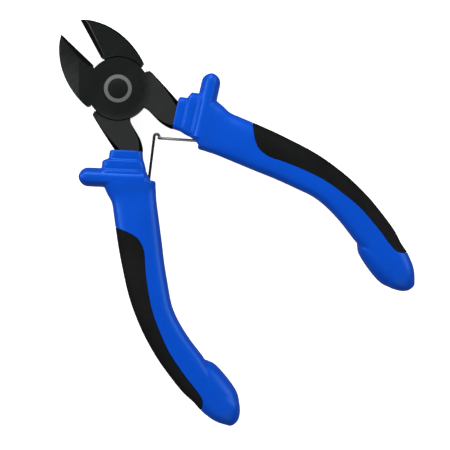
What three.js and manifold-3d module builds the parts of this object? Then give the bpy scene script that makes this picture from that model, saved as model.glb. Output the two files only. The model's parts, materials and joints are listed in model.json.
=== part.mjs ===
// Flush cut pliers with a lap joint, moulded grips and a wire return spring, in millimetres.
//
// The tool lies flat and open. The origin is on the pivot axis, in the plane the tool rests on.
// +Y points towards the jaws, +X to the right and +Z up through the thickness.
// Every plan outline is drawn for the right-hand side in the open pose. The two levers are the
// same forging, and the two grips the same moulding, turned over about the Y axis.

import * as THREE from 'three';
import { ConvexGeometry } from 'three/addons/geometries/ConvexGeometry.js';
import { mergeVertices } from 'three/addons/utils/BufferGeometryUtils.js';
import Module from 'manifold-3d';

const wasm = await Module();
wasm.setup();

// ---- driving dimensions -------------------------------------------------------------------

const GAP = 0.3; // clearance between pieces that face each other
const GRIP_THICKNESS = 11.4;
const HEAD_THICKNESS = 8.8;
const TANG_THICKNESS = 5.4;
const MID_Z = GRIP_THICKNESS / 2; // the plane where the two levers lap
const HEAD_REAR = MID_Z - HEAD_THICKNESS / 2;
const HEAD_FRONT = MID_Z + HEAD_THICKNESS / 2;

const HALF_OPENING_DEG = 8.6; // each cutting edge leans this far from the Y axis
const EDGE_SET_BACK = 0.05; // keeps the closed edges just apart
const THROAT_RADIUS = 10.6; // where the cutting edge starts, from the pivot
const THROAT_RELIEF = 0.55; // the jaws stand back from each other below the cutting edge
const TIP_RADIUS = 23.5;
const DISC_RADIUS = 9.35;
const RECESS_RADIUS = DISC_RADIUS + GAP;

const EDGE_DEPTH_AT_THROAT = 0.65; // cutting edge below the front face
const EDGE_DEPTH_AT_TIP = 1;
const STRIP_AT_THROAT = 1.15; // width of the small bevel on the flush side, seen from the front
const STRIP_AT_TIP = 0.5;
const REAR_BEVEL_DEG = 65; // deep bevel behind it
const FACET_DEG = 8; // one face of each jaw slopes away from the disc's face

const RIVET_RADIUS = 3;
const RIVET_HEAD_RADIUS = 4;
const RIVET_FLUSH_DEPTH = 1.1; // countersunk head, level with the front face
const RIVET_REAR_RADIUS = 3.6;
const RIVET_REAR_HEAD = 1; // thickness of the low head the tool rests on

const WIRE_RADIUS = 0.35;
const COIL_RADIUS = 0.75; // to the middle of the wire
const COIL_CENTRE = [0.45, -18.3];
const SPRING_SEAT = [8.55, -26.4];
const WIRE_LAYER = 0.5; // each half of the spring lies this far from the middle plane
const COIL_TURN = 1.6 * Math.PI; // how far the wire goes round the coil in each half
const COIL_STEPS = 12;

const DISC_SIDES = 72;
const PIVOT_SIDES = 32;

const INSERT_DEPTH = 2;

// Outer side of a jaw from its tip to the heel that stops the jaw on the arm's shoulder.
const JAW_OUTER = [[6.1, 21.05], [8.8, 17.1], [10.5, 12.7], [11.25, 8], [11.15, 3.6], [10.7, 1.45]];
const HEEL_TO_DISC = [[9.8, 1.2], [8.6, 1], [3, 3]]; // floor of the stop notch, then inside the disc
const FACET_LINE = [[10, 6], [5.5, 11.9]];

// Arm: points inside the disc, the stop shoulder and outer side, and the inner side up to the disc.
const ARM_IN_DISC = [[1.5, -7.5], [3, -3], [8.6, -0.9]];
const ARM_OUTER = [[9.75, -1.1], [10.75, -1.6], [10.95, -2.3], [11.35, -6], [11.8, -11.3]];
const ARM_INNER = [[5.05, -18.6], [4, -16], [3.55, -13.2], [3.3, -10.8], [2.95, -9.6], [2.4, -8.9]];
const COLLAR_FACE = [[12.2, -14.2], [6.3, -20]];

// Middle line of the tang inside the grip, and its half width at each end.
const TANG_LINE = [
  [7.4, -14.6], [9.8, -17.9], [13, -22.3], [16.4, -28.2], [19.5, -34.5], [23.2, -41.1],
  [26.5, -47.2], [29.6, -53.5], [32, -59.4], [33.4, -65],
];
const TANG_NOSE = [33.8, -66.2];
const TANG_HALF_WIDTH = [2.8, 2];

// Cross-sections of the grip: point on its inner side, point on its outer side, thickness.
const GRIP_SECTIONS = [
  { inner: [6.3, -20], outer: [12.2, -14.2], thickness: 9.6 },
  { inner: [7, -22.4], outer: [15.5, -15], thickness: 9.8 },
  { inner: [7.9, -25], outer: [18.8, -16.2], thickness: 10.2 },
  { inner: [8.9, -26.9], outer: [20.6, -18.4], thickness: 10.6 },
  { inner: [8.15, -28.5], outer: [21.7, -20.6], thickness: 10.8 },
  { inner: [9.5, -30.6], outer: [22, -23], thickness: 10.8 },
  { inner: [11.4, -33.5], outer: [22.4, -25.8], thickness: 10.9 },
  { inner: [14.4, -38.9], outer: [24.7, -30.3], thickness: 11.2 },
  { inner: [17.7, -44.6], outer: [28.8, -37.6], thickness: 11.4 },
  { inner: [20.9, -50], outer: [32.2, -44.4], thickness: 11.4 },
  { inner: [24.1, -56], outer: [35.2, -51], thickness: 11.4 },
  { inner: [26.8, -61.5], outer: [37.3, -57.3], thickness: 11.4 },
  { inner: [28.1, -67], outer: [38.9, -64], thickness: 11.4 },
  { inner: [28.6, -73], outer: [39.9, -71.5], thickness: 11.4 },
  { inner: [28.5, -78.5], outer: [40.15, -78.5], thickness: 11.4 },
  { inner: [28.1, -81], outer: [40.1, -81.5], thickness: 11.4 },
  { inner: [27.2, -83], outer: [39.9, -84], thickness: 11.4 },
  { inner: [26.75, -88], outer: [39.2, -88.2], thickness: 11.2 },
  { inner: [26.7, -91], outer: [39, -91.5], thickness: 11 },
  { inner: [27.3, -95], outer: [38.2, -94.8], thickness: 10 },
  { inner: [28.9, -98], outer: [36.4, -97.9], thickness: 7.8 },
  { inner: [30.8, -100.2], outer: [34.9, -99.9], thickness: 5 },
  { inner: [32.2, -101], outer: [33.8, -100.9], thickness: 2.5 },
];
const CORE_FIRST = 6; // the core under the insert runs between these two sections
const CORE_LAST = 20;
const SECTION_SIDES = 16;
const SECTION_SQUARENESS = 2.8; // exponent of the superellipse cross-section

// The two collar ribs and the thumb guard are round-ended bars that cross the grip.
const RIBS = [
  { inner: [7.3, -20.4], outer: [13.35, -14.45], radius: 1.15, thickness: 10.4 },
  { inner: [8.1, -23.1], outer: [16.85, -15.2], radius: 1.2, thickness: 10.8 },
  { inner: [10.1, -26.4], outer: [23.3, -15.3], radius: 2.6, thickness: 11.3 },
];
const RIB_EDGE_ROUND = 0.9;

// Inner edge of the soft insert, from the outer side by the guard to the outer side by the end.
const INSERT_EDGE = [
  [26.8, -31], [25.2, -33.6], [23.3, -37], [22.6, -40], [23.5, -43.5], [26, -47.3], [29, -52.3],
  [32.3, -59], [34.2, -65], [35.8, -72], [36.3, -80], [36.3, -87.5], [37.2, -90.1], [39.8, -92],
];
const INSERT_FAR_X = 44; // well outside the grip

// ---- shape helpers ------------------------------------------------------------------------

function makeSolid(geometry) {
  geometry.deleteAttribute('normal');
  geometry.deleteAttribute('uv');
  const merged = mergeVertices(geometry, 1e-4);
  return new wasm.Manifold(new wasm.Mesh({
    numProp: 3,
    vertProperties: merged.attributes.position.array,
    triVerts: new Uint32Array(merged.index.array),
  }));
}

function geometryOf(solid) {
  const mesh = solid.getMesh();
  const geometry = new THREE.BufferGeometry();
  geometry.setAttribute('position', new THREE.BufferAttribute(mesh.vertProperties, 3));
  geometry.setIndex(new THREE.BufferAttribute(mesh.triVerts, 1));
  return geometry;
}

// Turns a right-hand solid over about the Y axis through the middle plane.
function turnOver(solid) {
  const geometry = geometryOf(solid);
  geometry.rotateY(Math.PI);
  geometry.translate(0, 0, 2 * MID_Z);
  return makeSolid(geometry);
}

function slab(shape, low, high, curveSegments = 12) {
  const geometry = new THREE.ExtrudeGeometry(shape, { depth: high - low, bevelEnabled: false, curveSegments });
  geometry.translate(0, 0, low);
  return makeSolid(geometry);
}

function polygon(points) {
  return new THREE.Shape(points.map(([x, y]) => new THREE.Vector2(x, y)));
}

function smooth(points, steps) {
  const curve = new THREE.SplineCurve(points.map(([x, y]) => new THREE.Vector2(x, y)));
  return curve.getPoints(steps).map((point) => [point.x, point.y]);
}

// Moves each point of an open path sideways, to the left of its direction of travel.
function offsetPath(points, distances) {
  return points.map(([x, y], index) => {
    const before = points[Math.max(index - 1, 0)];
    const after = points[Math.min(index + 1, points.length - 1)];
    const run = Math.hypot(after[0] - before[0], after[1] - before[1]);
    const distance = distances[index];
    return [x - distance * (after[1] - before[1]) / run, y + distance * (after[0] - before[0]) / run];
  });
}

function roundBar(radius, low, high, segments = 48) {
  const geometry = new THREE.CylinderGeometry(radius, radius, high - low, segments);
  geometry.rotateX(Math.PI / 2);
  geometry.translate(0, 0, (low + high) / 2);
  return makeSolid(geometry);
}

// A point of the right jaw given in the closed pose, turned out to the open pose.
function opened(across, along) {
  const angle = THREE.MathUtils.degToRad(HALF_OPENING_DEG);
  return [
    across * Math.cos(angle) + along * Math.sin(angle),
    along * Math.cos(angle) - across * Math.sin(angle),
  ];
}

// ---- levers -------------------------------------------------------------------------------

// side is 1 for the right jaw and -1 for the left one.
function jawOutline(side) {
  const tip = opened(EDGE_SET_BACK, TIP_RADIUS);
  const throat = opened(EDGE_SET_BACK, THROAT_RADIUS);
  const outer = smooth([tip, ...JAW_OUTER], 16);
  const throatRelief = [
    opened(THROAT_RELIEF, DISC_RADIUS - 1),
    opened(THROAT_RELIEF, THROAT_RADIUS - THROAT_RELIEF),
  ];
  const outline = [throat, ...outer, ...HEEL_TO_DISC, ...throatRelief];
  return polygon(outline.map(([x, y]) => [side * x, y]));
}

// The arm's end, just short of the grip's front face.
function armEnd() {
  const [outer, inner] = COLLAR_FACE;
  const run = Math.hypot(outer[0] - inner[0], outer[1] - inner[1]);
  const towardsHead = [(inner[1] - outer[1]) / run, (outer[0] - inner[0]) / run];
  return [outer, inner].map(([x, y]) => [x + 1.2 * GAP * towardsHead[0], y + 1.2 * GAP * towardsHead[1]]);
}

function armOutline() {
  const [outerEnd, innerEnd] = armEnd();
  const innerSide = smooth([innerEnd, ...ARM_INNER], 14);
  return polygon([...ARM_IN_DISC, ...ARM_OUTER, outerEnd, ...innerSide]);
}

function tangOutline(grow) {
  const last = TANG_LINE.length - 1;
  const halfWidths = TANG_LINE.map((point, index) => (
    grow + THREE.MathUtils.lerp(TANG_HALF_WIDTH[0], TANG_HALF_WIDTH[1], index / last)
  ));
  const innerSide = offsetPath(TANG_LINE, halfWidths.map((width) => -width));
  const outerSide = offsetPath(TANG_LINE, halfWidths);
  const nose = [TANG_NOSE[0], TANG_NOSE[1] - grow];
  return polygon([...innerSide, nose, ...outerSide.reverse()]);
}

// Jaw on the left, disc in the front layer, arm and tang on the right.
function makeForging() {
  const jaw = slab(jawOutline(-1), HEAD_REAR, HEAD_FRONT);
  const arm = slab(armOutline(), HEAD_REAR, HEAD_FRONT);
  const tang = slab(tangOutline(0), MID_Z - TANG_THICKNESS / 2, MID_Z + TANG_THICKNESS / 2);
  const recess = roundBar(RECESS_RADIUS, HEAD_REAR - GAP, MID_Z + GAP / 2, DISC_SIDES);
  const disc = roundBar(DISC_RADIUS, MID_Z + GAP / 2, HEAD_FRONT, DISC_SIDES);
  return jaw.add(arm).add(tang).subtract(recess).add(disc);
}

// A convex tool along the cutting edge. profileAt(width, depth) lists [across, height] at each
// end of the edge, from the edge's place in plan and from the front face.
function edgeTool(profileAt, side) {
  const length = TIP_RADIUS - THROAT_RADIUS;
  const overrun = 3;
  const points = [0, length + overrun].flatMap((along) => {
    const width = THREE.MathUtils.lerp(STRIP_AT_THROAT, STRIP_AT_TIP, along / length);
    const depth = THREE.MathUtils.lerp(EDGE_DEPTH_AT_THROAT, EDGE_DEPTH_AT_TIP, along / length);
    return profileAt(width, depth).map(([across, height]) => new THREE.Vector3(side * across, along, height));
  });
  const geometry = new ConvexGeometry(points);
  geometry.translate(side * EDGE_SET_BACK, THROAT_RADIUS, HEAD_FRONT);
  geometry.rotateZ(-side * THREE.MathUtils.degToRad(HALF_OPENING_DEG));
  return makeSolid(geometry);
}

// The two ground bevels that meet in the cutting edge.
function cutBevels(lever, side) {
  const reach = 2;
  const rearSlope = Math.tan(THREE.MathUtils.degToRad(REAR_BEVEL_DEG));
  const bottom = 1.2 * HEAD_THICKNESS;
  const front = (width, depth) => [
    [-reach, -depth], [0, -depth], [width * (1 + reach / depth), reach], [-reach, reach],
  ];
  const rear = (width, depth) => [
    [-reach, reach * rearSlope - depth], [bottom / rearSlope, -depth - bottom], [-reach, -depth - bottom],
  ];
  return lever.subtract(edgeTool(front, side)).subtract(edgeTool(rear, side));
}

// Everything above the plane that slopes the outer part of a jaw away from the front face.
function facetTool(side) {
  const [[startX, startY], [endX, endY]] = FACET_LINE;
  const size = 40;
  const geometry = new THREE.BoxGeometry(size, size, size);
  geometry.translate(0, size / 2, size / 2);
  geometry.rotateX(-THREE.MathUtils.degToRad(FACET_DEG));
  geometry.rotateZ(side * Math.atan2(endY - startY, endX - startX) + Math.PI);
  geometry.translate(side * endX, endY, HEAD_FRONT);
  return makeSolid(geometry);
}

// The left jaw slopes away in front. The right one is the same forging, so it slopes behind.
function finishLever(forging, side) {
  const facet = side < 0 ? facetTool(side) : turnOver(facetTool(-side));
  return cutBevels(forging.subtract(facet), side);
}

// Solid of revolution about the pivot axis, from [radius, height] points.
function turned(points) {
  const profile = points.map(([radius, height]) => new THREE.Vector2(radius, height));
  const geometry = new THREE.LatheGeometry(profile, PIVOT_SIDES);
  geometry.rotateX(Math.PI / 2);
  return makeSolid(geometry);
}

function makeFrontLever() {
  const countersink = turned([
    [0, MID_Z - GAP], [RIVET_RADIUS + GAP, MID_Z - GAP],
    [RIVET_RADIUS + GAP, HEAD_FRONT - RIVET_FLUSH_DEPTH - GAP],
    [RIVET_HEAD_RADIUS + GAP, HEAD_FRONT], [RIVET_HEAD_RADIUS + GAP, HEAD_FRONT + GAP], [0, HEAD_FRONT + GAP],
  ]);
  return finishLever(makeForging(), -1).subtract(countersink);
}

function makeRearLever() {
  const hole = roundBar(RIVET_RADIUS + GAP, HEAD_REAR - GAP, MID_Z + GAP, PIVOT_SIDES);
  return finishLever(turnOver(makeForging()), 1).subtract(hole);
}

function makeRivet() {
  return turned([
    [0, 0], [RIVET_REAR_RADIUS, 0], [RIVET_REAR_RADIUS, RIVET_REAR_HEAD], [RIVET_RADIUS, RIVET_REAR_HEAD],
    [RIVET_RADIUS, HEAD_FRONT - RIVET_FLUSH_DEPTH], [RIVET_HEAD_RADIUS, HEAD_FRONT], [0, HEAD_FRONT],
  ]);
}

// ---- grips --------------------------------------------------------------------------------

// Closed ring of a superellipse standing on the line from the inner to the outer point.
function sectionRing({ inner, outer, thickness }, inset) {
  const width = Math.hypot(outer[0] - inner[0], outer[1] - inner[1]);
  const reach = (width / 2 - inset) / width;
  const ring = [];
  for (let side = 0; side < SECTION_SIDES; side += 1) {
    const angle = 2 * Math.PI * side / SECTION_SIDES;
    const power = 2 / SECTION_SQUARENESS;
    const across = Math.sign(Math.cos(angle)) * Math.abs(Math.cos(angle)) ** power;
    const up = Math.sign(Math.sin(angle)) * Math.abs(Math.sin(angle)) ** power;
    const share = 0.5 + across * reach;
    ring.push([
      THREE.MathUtils.lerp(inner[0], outer[0], share),
      THREE.MathUtils.lerp(inner[1], outer[1], share),
      MID_Z + up * (thickness / 2 - inset),
    ]);
  }
  return ring;
}

// Skins a list of rings with equal numbers of points and closes both ends.
function loft(rings) {
  const count = rings[0].length;
  const positions = rings.flat(2);
  const indices = [];
  for (let ring = 0; ring + 1 < rings.length; ring += 1) {
    for (let side = 0; side < count; side += 1) {
      const here = ring * count + side;
      const beside = ring * count + (side + 1) % count;
      indices.push(here, beside, beside + count, here, beside + count, here + count);
    }
  }
  const lastRing = (rings.length - 1) * count;
  for (let side = 1; side + 1 < count; side += 1) {
    indices.push(0, side + 1, side);
    indices.push(lastRing, lastRing + side, lastRing + side + 1);
  }
  const geometry = new THREE.BufferGeometry();
  geometry.setAttribute('position', new THREE.Float32BufferAttribute(positions, 3));
  geometry.setIndex(indices);
  return makeSolid(geometry);
}

function makeGripCore(inset) {
  const sections = GRIP_SECTIONS.slice(CORE_FIRST, CORE_LAST + 1);
  return loft(sections.map((section) => sectionRing(section, inset)));
}

function makeGripBody() {
  return loft(GRIP_SECTIONS.map((section) => sectionRing(section, 0)));
}

// A bar across the grip with a round outer end and rounded long edges.
function makeRib({ inner, outer, radius, thickness }) {
  const angle = Math.atan2(outer[1] - inner[1], outer[0] - inner[0]);
  const straight = Math.hypot(outer[0] - inner[0], outer[1] - inner[1]);
  const plan = radius - RIB_EDGE_ROUND;
  const shape = new THREE.Shape();
  shape.moveTo(0, -plan);
  shape.lineTo(straight, -plan);
  shape.absarc(straight, 0, plan, -Math.PI / 2, Math.PI / 2, false);
  shape.lineTo(0, plan);
  const geometry = new THREE.ExtrudeGeometry(shape, {
    depth: thickness - 2 * RIB_EDGE_ROUND,
    bevelThickness: RIB_EDGE_ROUND,
    bevelSize: RIB_EDGE_ROUND,
    bevelSegments: 2,
    curveSegments: 8,
  });
  geometry.translate(0, 0, MID_Z - thickness / 2 + RIB_EDGE_ROUND);
  geometry.rotateZ(angle);
  geometry.translate(inner[0], inner[1], 0);
  return makeSolid(geometry);
}

// Plan area of the insert, grown by an even amount past its inner edge.
function insertRegion(grow) {
  const edge = smooth(INSERT_EDGE, 26);
  const moved = offsetPath(edge, edge.map(() => -grow));
  const first = moved[0];
  const last = moved[moved.length - 1];
  return polygon([[INSERT_FAR_X, first[1]], ...moved, [INSERT_FAR_X, last[1]]]);
}

// Pocket in the grip's inner side that holds a spring leg and lets it swing.
function springPocket() {
  const lean = 0.75 * Math.PI;
  const halfAngle = THREE.MathUtils.degToRad(29);
  const behind = 1.3;
  const reach = 9;
  const apex = [SPRING_SEAT[0] - behind * Math.cos(lean), SPRING_SEAT[1] - behind * Math.sin(lean)];
  const mouth = [lean - halfAngle, lean + halfAngle].map((angle) => [
    apex[0] + reach * Math.cos(angle),
    apex[1] + reach * Math.sin(angle),
  ]);
  const halfHeight = WIRE_LAYER + WIRE_RADIUS + GAP;
  return slab(polygon([apex, ...mouth]), MID_Z - halfHeight, MID_Z + halfHeight);
}

function makeSleeve() {
  const region = slab(insertRegion(GAP), -1, GRIP_THICKNESS + 1);
  const halfSlot = TANG_THICKNESS / 2 + GAP;
  const slot = slab(tangOutline(GAP), MID_Z - halfSlot, MID_Z + halfSlot);
  return makeGripBody()
    .subtract(region)
    .add(makeGripCore(INSERT_DEPTH + GAP))
    .add(makeRib(RIBS[0]))
    .add(makeRib(RIBS[1]))
    .add(makeRib(RIBS[2]))
    .subtract(slot)
    .subtract(springPocket());
}

function makeInsert() {
  const region = slab(insertRegion(0), -1, GRIP_THICKNESS + 1);
  return makeGripBody().intersect(region).subtract(makeGripCore(INSERT_DEPTH));
}

// ---- return spring ------------------------------------------------------------------------

// Half of the spring: a straight leg from a grip's pocket that runs into most of one coil turn.
function makeSpringHalf(side) {
  const seat = new THREE.Vector2(side * SPRING_SEAT[0], SPRING_SEAT[1]);
  const centre = new THREE.Vector2(...COIL_CENTRE);
  const toSeat = seat.clone().sub(centre);
  const tangentTurn = Math.acos(COIL_RADIUS / toSeat.length());
  const startAngle = toSeat.angle() + side * tangentTurn;
  const height = MID_Z + side * WIRE_LAYER;
  const route = [0, 0.25, 0.5, 0.75].map((share) => {
    const tangent = centre.clone().add(new THREE.Vector2(
      COIL_RADIUS * Math.cos(startAngle),
      COIL_RADIUS * Math.sin(startAngle),
    ));
    const point = seat.clone().lerp(tangent, share);
    return new THREE.Vector3(point.x, point.y, height);
  });
  for (let step = 0; step <= COIL_STEPS; step += 1) {
    const angle = startAngle + side * COIL_TURN * step / COIL_STEPS;
    route.push(new THREE.Vector3(
      centre.x + COIL_RADIUS * Math.cos(angle),
      centre.y + COIL_RADIUS * Math.sin(angle),
      height,
    ));
  }
  const section = new THREE.Shape();
  section.absarc(0, 0, WIRE_RADIUS, 0, 2 * Math.PI, false);
  const geometry = new THREE.ExtrudeGeometry(section, {
    extrudePath: new THREE.CatmullRomCurve3(route),
    steps: 36,
    curveSegments: 4,
    bevelEnabled: false,
  });
  return makeSolid(geometry);
}

// ---- assembly -----------------------------------------------------------------------------

const blackSteel = new THREE.MeshStandardMaterial({ color: 0x202524, roughness: 0.45, metalness: 0.6 });
const rivetSteel = new THREE.MeshStandardMaterial({ color: 0x262a29, roughness: 0.4, metalness: 0.7 });
const springSteel = new THREE.MeshStandardMaterial({ color: 0x4a4b4a, roughness: 0.35, metalness: 0.9 });
const bluePlastic = new THREE.MeshStandardMaterial({ color: 0x0a49c4, roughness: 0.45, metalness: 0 });
const blackRubber = new THREE.MeshStandardMaterial({ color: 0x222322, roughness: 0.8, metalness: 0 });

function node(name, solid, material) {
  const geometry = geometryOf(solid);
  geometry.computeVertexNormals();
  const mesh = new THREE.Mesh(geometry, material);
  mesh.name = name;
  return mesh;
}

const sleeve = makeSleeve();
const insert = makeInsert();

const group = new THREE.Group();
group.add(node('front_lever', makeFrontLever(), blackSteel));
group.add(node('rear_lever', makeRearLever(), blackSteel));
group.add(node('pivot_rivet', makeRivet(), rivetSteel));
group.add(node('spring_half_right', makeSpringHalf(1), springSteel));
group.add(node('spring_half_left', makeSpringHalf(-1), springSteel));
group.add(node('right_grip_sleeve', sleeve, bluePlastic));
group.add(node('left_grip_sleeve', turnOver(sleeve), bluePlastic));
group.add(node('right_soft_insert', insert, blackRubber));
group.add(node('left_soft_insert', turnOver(insert), blackRubber));

export default group;
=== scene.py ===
"""The looks of the flush cut pliers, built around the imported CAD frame.

Shapes are drawn in millimetres, in the frame's own axes, and become metres when a mesh is made.
The right-hand grip is drawn; the left-hand one is the same moulding turned over about the Y axis.
"""

import json
import math

import bmesh
import bpy
from mathutils import Matrix, Vector


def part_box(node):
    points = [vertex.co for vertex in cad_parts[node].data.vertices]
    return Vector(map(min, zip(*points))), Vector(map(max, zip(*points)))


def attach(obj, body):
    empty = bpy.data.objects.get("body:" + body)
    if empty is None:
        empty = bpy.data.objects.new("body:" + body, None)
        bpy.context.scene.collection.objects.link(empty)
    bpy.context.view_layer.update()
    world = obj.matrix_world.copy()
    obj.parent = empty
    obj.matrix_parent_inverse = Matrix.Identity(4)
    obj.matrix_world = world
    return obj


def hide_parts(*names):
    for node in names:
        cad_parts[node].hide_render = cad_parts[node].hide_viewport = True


MM = 0.001

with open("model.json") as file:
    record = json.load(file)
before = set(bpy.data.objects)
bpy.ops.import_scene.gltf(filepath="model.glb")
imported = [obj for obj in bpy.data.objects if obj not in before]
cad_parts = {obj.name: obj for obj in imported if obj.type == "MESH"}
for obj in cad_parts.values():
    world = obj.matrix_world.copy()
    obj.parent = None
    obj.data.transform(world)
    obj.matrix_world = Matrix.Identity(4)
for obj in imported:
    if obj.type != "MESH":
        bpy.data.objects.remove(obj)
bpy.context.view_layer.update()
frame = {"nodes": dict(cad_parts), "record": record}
scene = bpy.context.scene

# ---- measures read from the frame ---------------------------------------------------------

grip_low, grip_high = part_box("right_grip_sleeve")
lever_low, lever_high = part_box("front_lever")
_, rivet_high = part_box("pivot_rivet")
MID_Z = (grip_low.z + grip_high.z) / 2 / MM
HEAD_FRONT = lever_high.z / MM
HEAD_REAR = lever_low.z / MM
RIVET_REACH = rivet_high.x / MM
JOINTS = {joint["name"]: joint for joint in frame["record"]["behaviour"]["joints"]}
COIL_CENTRE = [value / MM for value in JOINTS["spring_coil_flex"]["pos_m"]]
SPRING_SEAT = [abs(value) / MM for value in JOINTS["spring_left_swing"]["pos_m"]]

# ---- the levers and the rivet -------------------------------------------------------------

# Each row: x, y, and the width of the chamfer along the edge there.
ARM_OUTER_EDGE = [
    (10.85, -1.9, 0.15), (11.0, -3.0, 0.2), (11.35, -6.0, 0.3), (11.6, -9.0, 0.55),
    (11.8, -11.3, 0.85), (11.95, -13.94, 1.25), (12.0, -14.6, 1.35),
]
ARM_INNER_EDGE = [
    (2.4, -8.9, 0.15), (2.95, -9.6, 0.18), (3.3, -10.8, 0.2), (3.55, -13.2, 0.3),
    (4.0, -16.0, 0.55), (5.05, -18.6, 0.95), (6.05, -19.74, 1.2), (6.6, -20.3, 1.3),
]
JAW_OUTER_EDGE = [
    (3.6, 23.2, 0.1), (6.1, 21.05, 0.3), (8.8, 17.1, 0.42), (10.5, 12.7, 0.45),
    (11.25, 8.0, 0.4), (11.15, 3.6, 0.3), (10.7, 1.45, 0.2),
]
CHAMFER_SLOPE = 1.4  # depth over width
CHAMFER_OVERCUT = 0.4  # how far the cutting tool stands out of the metal
SMALL_EDGE = 0.1  # width of the bevel on every other edge
SMALL_EDGE_DEG = 35  # edges at least this sharp get that bevel
SHARP_EDGE_DEG = 25  # edges at least this sharp stay crisp in the shading
RIDGE_WIDTH = 0.3  # corner between a jaw's face and its small bevel, painted with a highlight on the right jaw and with shade on the left
MERGE_DISTANCE = 0.004
FLAT_DEG = 1.0  # faces that differ by less than this are one flat face

# Finishes by where a face lies and which way it looks. The last three are shares of its normal.
GROUND_FROM_Y = 8
GROUND_WITHIN_X = 9
FACET_FROM_Y = 6
FACET_TILT = (0.003, 0.03)  # the sloped face of a jaw leans this far from the front or rear
GROUND_TILT = 0.2  # a ground face looks at least this much towards the jaw gap
TOWARDS_TIP = 0.9  # a face that looks this much along the jaw is not ground
FRONT_TILT = 0.95  # a face that looks this much upwards is the front face

RIVET_SHANK = 3.0  # radius
RIVET_REAR = 3.6  # radius of the low rear head
RIVET_REAR_HEIGHT = 1.0
RIVET_CONE_DEPTH = 1.3
RIVET_EDGE_DEPTH = 0.12  # depth of the rounded rim at the ground end
RIVET_FILL = 0.26  # the end reaches this far past the CAD's, and fills the countersink
RIVET_SIDES = 96
RIVET_SHARP_DEG = 30
RING_INNER = 3.05  # plain etched ring on the rivet and the disc
RING_OUTER = 4.15
RING_BLUR = 0.04
RING_DEPTH = 0.1  # the ring is on faces within this depth of the front

# The arms are painted paler than the head, a painted sheen for the light their leaning faces catch, and the
# jaw's facet gets a painted highlight. Each pair says where the change begins and where it ends.
ARM_SHEEN_RADIUS = (7.5, 10.5)  # distance from the pivot
ARM_SHEEN_Y = (-0.5, -3.5)
FACET_HIGHLIGHT_SPAN = (-9.0, -2.0)  # along the diagonal towards the heel, where the facet's painted highlight grows

# ---- shapes of the moulded grip -----------------------------------------------------------

# Each row: inner x, inner y, outer x, outer y, thickness, squareness of the section.
GRIP_SECTIONS = [
    (8.4, -28.2, 20.2, -18.4, 10.9, 4.5),
    (8.15, -28.6, 20.6, -19.2, 11.2, 4.5),
    (8.2, -29.1, 21.0, -20.1, 11.15, 4.3),
    (8.9, -30.0, 21.5, -21.8, 10.6, 4.2),
    (9.7, -31.2, 21.9, -23.6, 10.1, 4.0),
    (11.4, -33.7, 22.4, -26.2, 10.2, 4.0),
    (14.4, -38.9, 24.7, -30.3, 11.0, 3.8),
    (17.7, -44.6, 28.8, -37.6, 11.4, 3.6),
    (20.9, -50.0, 32.2, -44.4, 11.4, 3.6),
    (24.1, -56.0, 35.2, -51.0, 11.4, 3.6),
    (26.8, -61.5, 37.3, -57.3, 11.4, 3.6),
    (28.1, -67.0, 38.9, -64.0, 11.4, 3.6),
    (28.6, -73.0, 39.9, -71.5, 11.4, 3.6),
    (28.6, -78.5, 40.1, -78.5, 11.4, 3.6),
    (28.9, -83.0, 39.95, -84.0, 11.4, 3.5),
    (29.0, -88.0, 39.2, -88.2, 11.2, 3.4),
    (28.9, -91.0, 39.0, -91.5, 11.0, 3.2),
    (28.4, -94.2, 38.3, -94.6, 10.6, 3.0),
    (28.1, -96.0, 37.7, -96.4, 10.1, 2.8),
    (29.1, -98.0, 36.7, -98.2, 8.8, 2.6),
    (30.5, -99.7, 35.5, -99.8, 6.6, 2.4),
    (31.7, -100.6, 34.9, -100.65, 4.4, 2.2),
    (32.7, -100.97, 34.1, -100.95, 2.4, 2.0),
]
CORE_ROWS = slice(5, 19)  # the rows that the insert lies along
INSERT_DEPTH = 2.0  # how deep the insert is let into the grip

# The collar is measured along and across the thumb guard's own line.
GUARD_START = (10.2, -26.3)
GUARD_END = (23.15, -15.43)
GUARD_RADIUS = 2.85
GUARD_THICKNESS = 11.36
GUARD_SQUARENESS = 2.5
GUARD_TIP_SHARE = 0.7  # thickness at the very tip, as a share of the guard's
GUARD_TIP_POWER = 0.8  # below 1, the guard keeps its thickness until close to the tip
DOME_STEPS = 10

# Each row: distance from the guard's line towards the head, inner end, outer end, thickness.
COLLAR_ROWS = [
    (8.42, 1.3, 10.0, 8.85),
    (8.3, 1.15, 10.4, 9.1),
    (8.0, 1.0, 10.8, 9.3),
    (6.4, 0.8, 10.95, 9.3),
    (5.85, 0.75, 11.0, 8.95),
    (5.6, 0.62, 11.6, 9.2),
    (5.2, 0.5, 12.5, 10.1),
    (4.8, 0.3, 12.9, 10.15),
    (3.4, -0.1, 13.0, 10.0),
    (2.75, -0.2, 13.05, 9.55),
    (2.5, -0.3, 13.1, 9.85),
    (2.05, -0.5, 13.5, 10.85),
    (1.65, -0.7, 14.0, 10.85),
    (1.25, -0.9, 14.5, 10.4),
    (1.0, -1.1, 15.0, 10.6),
    (0.5, -1.3, 15.0, 11.36),
    (-0.2, -1.9, 15.0, 11.3),
    (-1.2, -2.0, 15.0, 11.0),
]
COLLAR_SQUARENESS = 6.0

# The swell on the inner side of the handle's end, in the terms of GRIP_SECTIONS. It slopes down
# to its edge.
PAD_SECTIONS = [
    (28.9, -79.8, 34.0, -81.0, 6.5, 2.6),
    (28.0, -81.2, 35.5, -82.6, 9.0, 2.4),
    (27.2, -82.8, 36.5, -84.2, 10.3, 2.3),
    (26.75, -86.0, 37.0, -87.0, 10.9, 2.2),
    (26.65, -90.0, 36.8, -90.5, 10.8, 2.2),
    (26.85, -93.0, 36.4, -93.2, 10.0, 2.2),
    (27.5, -95.2, 35.8, -95.4, 8.8, 2.2),
    (28.9, -97.2, 34.8, -97.4, 6.4, 2.2),
    (30.9, -98.8, 33.9, -98.8, 2.8, 2.0),
]

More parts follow.
